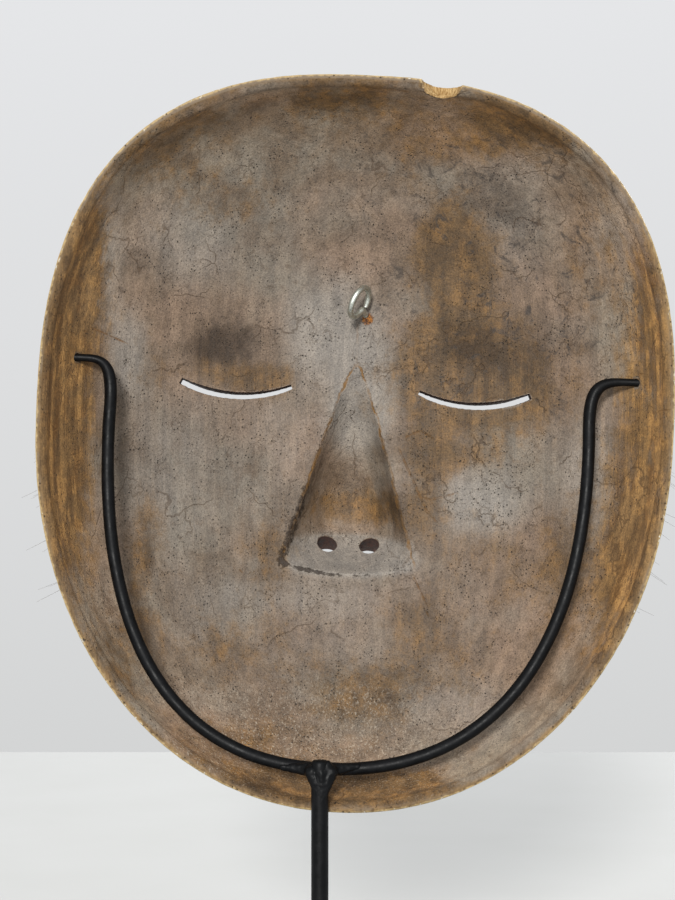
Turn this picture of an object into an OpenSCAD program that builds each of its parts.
// Carved wooden mask hanging from a bent-rod display stand.
// +Z is up, the face looks along -Y, and the origin is at the centre of the base's underside.

/* [Mask] */
// Width of the mask across its rim
mask_w = 178; // [168:1:182]
// Height of the mask from crown to chin
mask_h = 206; // [198:1:212]
// Depth of the shell from the rim to the cheeks, without the nose
shell_d = 53; // [51:1:56]
// Thickness of the shell behind the middle of the face
floor_t = 6; // [5:0.5:7]
// Thickness of the rim
rim_t = 3.2; // [2.8:0.1:3.6]
// How far the nose stands out of the face
nose_h = 21; // [19:0.5:23]
// Sideways roll of the hanging mask, in degrees
mask_roll = 2.6; // [0:0.2:3.4]
// Width of the cut through each closed eye
slit_w = 1.5; // [1.1:0.1:2]
// Diameter of each nostril
nostril_d = 6; // [5:0.5:7]
// Diameter of the tie holes in the side walls, where the stand's tips sit
tie_hole_d = 2.4; // [2.4:0.1:3]

/* [Screw eye] */
// Wire diameter of the screw eye
eye_wire_d = 1.8; // [1.6:0.1:2]
// Outer diameter of its loop
eye_loop_d = 11; // [10.6:0.1:12]

/* [Stand] */
// Diameter of the yoke's bent rod
rod_d = 3.6; // [3.2:0.1:4]
// Diameter of each ground-down tip
tip_d = 2.2; // [1.8:0.1:2.2]
// Diameter of the post
post_d = 4.8; // [4.4:0.1:5]
// Height of the mask's middle above the table
mask_z = 180; // [170:1:200]
// Sideways offset of the post from the mask's middle
post_x = 9.5; // [6:0.5:12]

/* [Base] */
// Width of the base plate
base_w = 130; // [120:1:150]
// Depth of the base plate
base_d = 120; // [110:1:140]
// Thickness of the base plate
base_t = 8; // [8:0.5:12]
// Thickness of the felt under it
felt_t = 1.5; // [1:0.1:2]

/* [Hidden] */
$fn = 48;
overshoot = 1;       // how far a cutter runs past the wall it cuts
gap = 0.3;           // air between the mask and the post that it leans on

// Proportions of the face: five eye-widths across, and three equal thirds from hairline to chin.
half_w = mask_w / 2;
half_h = mask_h / 2;
eye_w = mask_w / 5;
hairline_z = 0.9 * half_h;
chin_z = -0.97 * half_h;
third = (hairline_z - chin_z) / 3;
brow_z = hairline_z - third;
nose_base_z = brow_z - third;
eye_z = brow_z - third / 5;
mouth_z = nose_base_z - third / 3;

// Outline and section exponents: 2 is an ellipse, more is squarer.
n_top = 2.55;
n_bottom = 2.1;
m_outer = 2.4;
m_inner = 2.15;
taper = 0.035;       // share by which the crown is wider than the middle
rings = 30;          // rings of points from the middle of the face to the rim
spokes = 72;         // points on each ring

function power(v, p) = sign(v) * pow(abs(v), p);
function clamp(v) = min(1, max(0, v));
function ease(from, to, v) = let (t = clamp((v - from) / (to - from))) t * t * (3 - 2 * t);
function swell(x, z, cx, cz, rx, rz, p = 2) =
    exp(-pow(abs((x - cx) / rx), p) - pow(abs((z - cz) / rz), p));

// Forward swelling of the outer surface at (x, z): nose, lids, cheeks, lips, chin and forehead.
function face_relief(x, z) =
    let (ax = abs(x),
         t = clamp((brow_z + 2 - z) / (brow_z - nose_base_z - 6)),
         underside = ease(nose_base_z - 3, nose_base_z + 7, z),
         ridge = nose_h * pow(t, 1.15) * underside * exp(-pow(ax / (5.5 + 7.5 * t), 2)),
         wings = 7.5 * swell(ax, z, eye_w / 3, nose_base_z + 7, 6.5, 7.5, 2.4),
         socket = -5.5 * swell(ax, z, eye_w, eye_z + 4, 19, 13),
         lid = 5.5 * swell(ax, z, eye_w, eye_z + 2, eye_w / 2, 8.5, 2.4),
         cheek = 4.5 * swell(ax, z, 1.3 * eye_w, nose_base_z + 10, 26, 26),
         lips = 4.5 * swell(x, z, 0, mouth_z + 1, 27, 17),
         chin = 6 * swell(x, z, 0, chin_z + 14, 22, 12),
         forehead = 2 * swell(x, z, 0, brow_z + third / 2, 50, 35))
    ridge + wings + socket + lid + cheek + lips + chin + forehead;

// Forward hollowing of the inner surface: a triangular pit behind the nose, and shallow bowls.
function hollow_relief(x, z) =
    let (ax = abs(x),
         top = brow_z - 4,
         bottom = nose_base_z - 3,
         run = clamp((top - z) / (top - bottom)),
         edge = max(0.01, 0.56 * eye_w * pow(run, 0.8)),
         pit = 17 * ease(0, 0.72, run) * (1 - ease(0.74, 1, run)) * (1 - pow(clamp(ax / edge), 2.6)),
         brow = 1.2 * swell(ax, z, eye_w, eye_z + 7, 22, 13),
         mouth = 3 * swell(x, z, 0, mouth_z - 3, 36, 18))
    pit + brow + mouth;

// A point of the shell: tilt runs from 0 at the middle of the face to 90 at the rim.
function shell_point(tilt, turn, outer) =
    let (inset = outer ? 0 : rim_t,
         m = outer ? m_outer : m_inner,
         depth = outer ? shell_d : shell_d - floor_t,
         n = sin(turn) >= 0 ? n_top : n_bottom,
         reach = pow(sin(tilt), 2 / m),
         x = (half_w - inset) * (1 + taper * sin(turn)) * power(cos(turn), 2 / n) * reach,
         z = (half_h - inset) * power(sin(turn), 2 / n) * reach,
         fade = 1 - pow(sin(tilt), 10),
         relief = outer ? face_relief(x, z) : hollow_relief(x, z))
    [x, -depth * pow(cos(tilt), 2 / m) - fade * relief, z];

function skin(outer) = concat(
    [shell_point(0, 0, outer)],
    [for (i = [1 : rings], j = [0 : spokes - 1]) shell_point(90 * i / rings, 360 * j / spokes, outer)]);

// Triangles of one skin, whose points start at index base. Flip turns them inside out.
function ring_index(base, i, j) = base + 1 + (i - 1) * spokes + (j % spokes);
function facing(triangle, flip) = flip ? [triangle[2], triangle[1], triangle[0]] : triangle;
function skin_faces(base, flip) = concat(
    [for (j = [0 : spokes - 1]) facing([base, ring_index(base, 1, j + 1), ring_index(base, 1, j)], flip)],
    [for (i = [1 : rings - 1], j = [0 : spokes - 1], half = [0, 1])
        let (a = ring_index(base, i, j), b = ring_index(base, i, j + 1),
             c = ring_index(base, i + 1, j + 1), d = ring_index(base, i + 1, j))
        facing(half == 0 ? [a, c, d] : [a, b, c], flip)]);
function rim_faces(outer_base, inner_base) =
    [for (j = [0 : spokes - 1], half = [0, 1])
        let (a = ring_index(outer_base, rings, j), b = ring_index(outer_base, rings, j + 1),
             c = ring_index(inner_base, rings, j + 1), d = ring_index(inner_base, rings, j))
        half == 0 ? [a, c, d] : [a, b, c]];

// Where the mask hangs: its own frame has the rim in the plane y = 0 and its middle at the origin.
rim_y = 14;
post_y = rim_y + gap + post_d / 2;
module in_mask_frame() {
    translate([0, rim_y, mask_z]) rotate([0, -mask_roll, 0]) children();
}

// The pivot line runs along X through both tie holes.
pivot_y = -18;
pivot_z = mask_h * 0.103;
tip_start = 0.87 * half_w;    // where the round tip starts, just short of the side wall
tip_end = 0.945 * half_w;     // end of the tip, inside the wall

// Screw eye: where it enters the forehead, how it leans up and turns to one side, and the loop's own turn.
eye_entry = [-2, -44, 38.7];
eye_lean = 22;
eye_turn = -15;
eye_spin = 66;
eye_depth = 5;
eye_neck = 4.2;               // bare shank between the wood and the loop

// Chip out of the crown's rim: its place along the rim, and its width, depth and height.
chip_x = -20;
chip_size = [11.6, 17, 12.6];

// Whiskers: roots down each cheek, as [x, y, z] on the skin of the left cheek.
whisker_roots = [[75, -33.5, 4], [74, -33.5, -9], [71.5, -33.5, -22], [67, -33.5, -35]];
whisker_peg_d = 2;
whisker_peg_l = 3;
whisker_l = 31;

module eye_slit(side) {
    radius = 1.12 * eye_w;
    half_angle = 24;
    translate([side * eye_w, overshoot, eye_z + radius - 3])
        rotate([90, 0, 0]) rotate([0, 0, -90 - half_angle])
            rotate_extrude(angle = 2 * half_angle, $fn = 96)
                translate([radius - slit_w / 2, 0]) square([slit_w, shell_d + 30]);
}

module nostril(side) {
    translate([side * eye_w * 0.18, -50, nose_base_z + 7.7])
        rotate([90 + 26, 0, 0]) translate([0, 0, -4]) cylinder(d = nostril_d, h = 30);
}

module tie_hole(side) {
    translate([side * (tip_start - 2), pivot_y, pivot_z])
        rotate([0, side * 90, 0]) cylinder(d = tie_hole_d, h = 20);
}

module rim_chip() {
    translate([chip_x, 0, half_h - 0.5]) scale(chip_size) sphere(d = 1);
}

// Stands a part that is drawn along +Z on the forehead, at the screw eye's lean.
module on_forehead() {
    translate(eye_entry) rotate([0, 0, eye_turn]) rotate([eye_lean, 0, 0])
        rotate([-90, 0, 0]) rotate([0, 0, eye_spin]) children();
}

// Lays a part that is drawn along +Z outwards and down from each whisker root on one cheek.
module at_whisker_roots(side) {
    for (root = whisker_roots)
        mirror([side < 0 ? 1 : 0, 0, 0]) translate(root) rotate([0, 118, 0]) rotate([13, 0, 0]) children();
}

module mask_shell() {
    inner_base = 1 + rings * spokes;
    color("rosybrown") in_mask_frame() difference() {
        polyhedron(points = concat(skin(true), skin(false)),
                   faces = concat(skin_faces(0, false), skin_faces(inner_base, true),
                                  rim_faces(0, inner_base)));
        for (side = [-1, 1]) {
            eye_slit(side);
            nostril(side);
            tie_hole(side);
            at_whisker_roots(side) {
                translate([0, 0, -whisker_peg_l - 0.2])
                    cylinder(d = whisker_peg_d + 0.2, h = whisker_peg_l + overshoot);
                cylinder(d1 = whisker_peg_d + 0.2, d2 = 3 * whisker_peg_d + 0.2, h = whisker_l);
            }
        }
        rim_chip();
        on_forehead() translate([0, 0, -eye_depth - 0.2]) cylinder(d = eye_wire_d + 0.2, h = eye_depth + 4);
    }
}

module screw_eye() {
    loop_r = (eye_loop_d - eye_wire_d) / 2;
    color("silver") in_mask_frame() on_forehead() {
        translate([0, 0, -eye_depth]) cylinder(d = eye_wire_d, h = eye_depth + eye_neck + eye_wire_d / 2);
        translate([0, 0, eye_neck + loop_r]) rotate([90, 0, 0])
            rotate_extrude() translate([loop_r, 0]) circle(d = eye_wire_d, $fn = 24);
    }
}

module whiskers(side) {
    color("saddlebrown") in_mask_frame() at_whisker_roots(side) {
        translate([0, 0, -whisker_peg_l]) cylinder(d = whisker_peg_d, h = whisker_peg_l + 1);
        cylinder(d1 = whisker_peg_d, d2 = 3 * whisker_peg_d, h = whisker_l);
    }
}

// Yoke: one rod bent to a U that deepens into the mask towards its tips.
yoke_low = [4, -91];                              // lowest point of the U, as [x, z]
yoke_y = gap - rod_d / 2 - 0.05;                  // depth there, just in front of the post
yoke_sides = [[[50, -91], [71, -54], [70, 8]],    // each side's curve up to the top of its arm
              [[-42, -91], [-69, -57], [-67, 8]]];
bend_points = 16;
hook_points = 6;

function bezier(p, t) = pow(1 - t, 3) * p[0] + 3 * pow(1 - t, 2) * t * p[1]
                        + 3 * (1 - t) * t * t * p[2] + pow(t, 3) * p[3];
function yoke_point(p) =
    [p[0], yoke_y + (pivot_y - yoke_y) * (p[1] - yoke_low[1]) / (pivot_z - yoke_low[1]), p[1]];
function arm_path(side, way) =
    let (top = side[2], knee = [top[0], pivot_z - 2.5], elbow = [top[0] + way * 2, pivot_z])
    concat([for (i = [1 : bend_points])
                yoke_point(bezier([yoke_low, side[0], side[1], top], i / bend_points))],
           [for (i = [1 : hook_points])
               yoke_point(bezier([top, knee, elbow, [way * tip_start, pivot_z]], i / hook_points))]);
function reversed(list) = [for (i = [len(list) - 1 : -1 : 0]) list[i]];
yoke_path = concat(reversed(arm_path(yoke_sides[1], -1)),
                   [yoke_point(yoke_low)],
                   arm_path(yoke_sides[0], 1));

// Tube of radius r along a path that never runs along Y.
function unit(v) = v / norm(v);
function heading(path, i) = unit(path[min(len(path) - 1, i + 1)] - path[max(0, i - 1)]);
function tube_ring(path, i, r, sides) =
    let (t = heading(path, i), u = unit(cross(t, [0, 1, 0])), v = cross(t, u))
    [for (k = [0 : sides - 1]) path[i] + r * (cos(360 * k / sides) * u + sin(360 * k / sides) * v)];
module tube(path, r, sides) {
    last = (len(path) - 1) * sides;
    polyhedron(
        points = [for (i = [0 : len(path) - 1]) each tube_ring(path, i, r, sides)],
        faces = concat(
            [[for (k = [0 : sides - 1]) k], [for (k = [sides - 1 : -1 : 0]) last + k]],
            [for (i = [0 : len(path) - 2], k = [0 : sides - 1], half = [0, 1])
                let (a = i * sides + k, b = i * sides + (k + 1) % sides, c = b + sides, d = a + sides)
                half == 0 ? [a, d, c] : [a, c, b]]));
}

module yoke_tip(side) {
    translate([side * tip_start, pivot_y, pivot_z]) rotate([0, side * 90, 0]) {
        translate([0, 0, -0.6]) cylinder(d1 = 0.92 * rod_d, d2 = tip_d, h = 1.8);
        cylinder(d = tip_d, h = tip_end - tip_start);
    }
}

module yoke_rod() {
    color("black") in_mask_frame() {
        tube(yoke_path, rod_d / 2, 12);
        for (side = [-1, 1]) yoke_tip(side);
    }
}

// Height of the rod where it crosses the post.
crossing_z = mask_z + yoke_low[1] + post_x * sin(mask_roll);
post_top = crossing_z + rod_d / 2 + 1.2;
weld_core_d = 5.4;
weld_run_d = 2.2;             // thin end of the metal that ran out along the rod
weld_run = 8;                 // how far it ran to each side
weld_front_d = 6.4;           // lump over the open side of the post, which tapers down to a point
weld_point_d = 2.6;
weld_drop = 9;                // how far below the rod that point is
module weld_bead() {
    rod_back = post_y - post_d / 2 - 1;
    proud = post_d / 2 + 0.3;
    module blob(x, y, z, d) { translate([post_x + x, y, crossing_z + z]) sphere(d = d, $fn = 24); }
    color("black") {
        for (way = [-1, 1]) hull() {
            blob(0, rod_back, 0, weld_core_d);
            blob(way * weld_run, rod_back - 0.6, 0.5 + 0.3 * way, weld_run_d);
        }
        hull() {
            blob(0, rod_back, 0, weld_core_d);
            blob(0, post_y + proud - weld_front_d / 2, -1, weld_front_d);
            blob(0, post_y + proud - weld_point_d / 2, -weld_drop, weld_point_d);
        }
    }
}

base_top = felt_t + base_t;
bore_d = post_d + 0.1;        // bore of every ring on the post
collar_d = 14;
collar_t = 4;
post_foot = felt_t + 0.3;
module post() {
    color("black") translate([post_x, post_y, post_foot]) cylinder(d = post_d, h = post_top - post_foot);
}

module ring_on_post(outer_d, z, h, sides = $fn) {
    translate([post_x, post_y, z]) difference() {
        cylinder(d = outer_d, h = h, $fn = sides);
        translate([0, 0, -overshoot]) cylinder(d = bore_d, h = h + 2 * overshoot);
    }
}

module post_collar() { color("black") ring_on_post(collar_d, base_top, collar_t); }

module rounded_plate(w, d, r, h) {
    linear_extrude(h) {
        square([w - 2 * r, d], center = true);
        square([w, d - 2 * r], center = true);
        for (sx = [-1, 1], sy = [-1, 1])
            translate([sx * (w / 2 - r), sy * (d / 2 - r)]) circle(r);
    }
}

corner_r = 5;
recess_d = 12.4;              // recess under the plate for the washer and nut
recess_h = 5.4;
washer_d = 10;
washer_t = 1;
nut_flats = 8;                // across its flats
nut_h = 3.8;
module base_plate() {
    color("black") difference() {
        translate([0, 0, felt_t]) rounded_plate(base_w, base_d, corner_r, base_t);
        translate([post_x, post_y, 0]) {
            cylinder(d = bore_d, h = base_top + overshoot);
            cylinder(d = recess_d, h = felt_t + recess_h);
        }
    }
}

washer_z = felt_t + recess_h - washer_t;
module washer() { color("silver") ring_on_post(washer_d, washer_z, washer_t); }
module locking_nut() { color("silver") ring_on_post(nut_flats / cos(30), washer_z - nut_h, nut_h, 6); }

felt_margin = 2;              // how far the felt stays inside the plate's edge
module felt_pad() {
    color("dimgray")
        rounded_plate(base_w - 2 * felt_margin, base_d - 2 * felt_margin, corner_r - 1, felt_t);
}

mask_shell();
screw_eye();
whiskers(1);  // left_whiskers
whiskers(-1);  // right_whiskers
yoke_rod();
weld_bead();
post();
post_collar();
base_plate();
washer();
locking_nut();
felt_pad();
